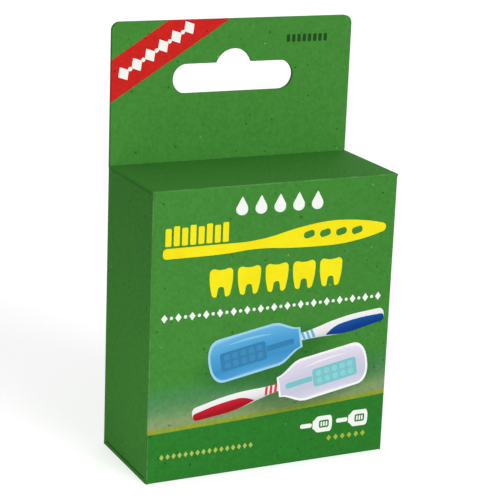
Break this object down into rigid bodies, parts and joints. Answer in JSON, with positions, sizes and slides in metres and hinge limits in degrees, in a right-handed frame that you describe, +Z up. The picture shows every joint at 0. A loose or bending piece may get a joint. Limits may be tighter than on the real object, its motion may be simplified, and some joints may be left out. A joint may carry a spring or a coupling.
{
  "type": "boxed toothbrush cover pair",
  "caption": "Hang-tab folding carton holding silicone toothbrush covers, head to tail, under a tuck-in lid with dust flaps.",
  "frame": {"origin": "middle of the carton's base, on the surface it stands on", "axes": "+X to the right across the front, +Y towards the back and the hang tab, +Z up"},
  "size_m": [0.0636, 0.028, 0.1051],
  "materials": {
    "printed_board": "0.5 mm folding boxboard, green print under a satin varnish",
    "plain_board": "0.5 mm folding boxboard, uncoated grey-white side",
    "blue_silicone": "moulded silicone, translucent blue, satin",
    "clear_silicone": "moulded silicone, milky clear, satin"
  },
  "bodies": {
    "carton": {"front_panel": "printed_board", "left_side_panel": "printed_board", "right_side_panel": "printed_board", "back_panel": "printed_board", "glue_flap": "plain_board", "hang_tab_front_ply": "printed_board", "base_outer_panel": "printed_board", "base_inner_panel": "plain_board", "base_left_flap": "plain_board", "base_right_flap": "plain_board"},
    "lid": {"lid_panel": "printed_board"},
    "tuck": {"lid_tuck_flap": "printed_board"},
    "left_dust": {"left_dust_flap": "plain_board"},
    "right_dust": {"right_dust_flap": "plain_board"},
    "blue": {"blue_cover": "blue_silicone"},
    "clear": {"clear_cover": "clear_silicone"}
  },
  "joints": [
    {"name": "lid_crease", "type": "hinge", "parent": "carton", "child": "lid", "pos_m": [0, -0.01375, 0.07075], "axis": [1, 0, 0], "range_deg": [0, 175]},
    {"name": "tuck_crease", "type": "hinge", "parent": "lid", "child": "tuck", "pos_m": [0, 0.0124, 0.07075], "axis": [1, 0, 0], "range_deg": [0, 45]},
    {"name": "left_dust_crease", "type": "hinge", "parent": "carton", "child": "left_dust", "pos_m": [-0.0315, 0, 0.07005], "axis": [0, -1, 0], "range_deg": [0, 167]},
    {"name": "right_dust_crease", "type": "hinge", "parent": "carton", "child": "right_dust", "pos_m": [0.0315, 0, 0.07005], "axis": [0, 1, 0], "range_deg": [0, 167]},
    {"name": "blue_cover_lift", "type": "slide", "parent": "carton", "child": "blue", "axis": [0, 0, 1], "range_m": [0, 0.0345]},
    {"name": "clear_cover_lift", "type": "slide", "parent": "carton", "child": "clear", "axis": [0, 0, 1], "range_m": [0, 0.0492]}
  ],
  "couplings": [
    {"joint": "tuck_crease", "follows": "lid_crease", "ratio": 0.25},
    {"joint": "left_dust_crease", "follows": "lid_crease", "ratio": 0.95},
    {"joint": "right_dust_crease", "follows": "lid_crease", "ratio": 0.95},
    {"joint": "blue_cover_lift", "follows": "lid_crease", "m_per_rad": 0.0112},
    {"joint": "clear_cover_lift", "follows": "lid_crease", "m_per_rad": 0.016}
  ]
}
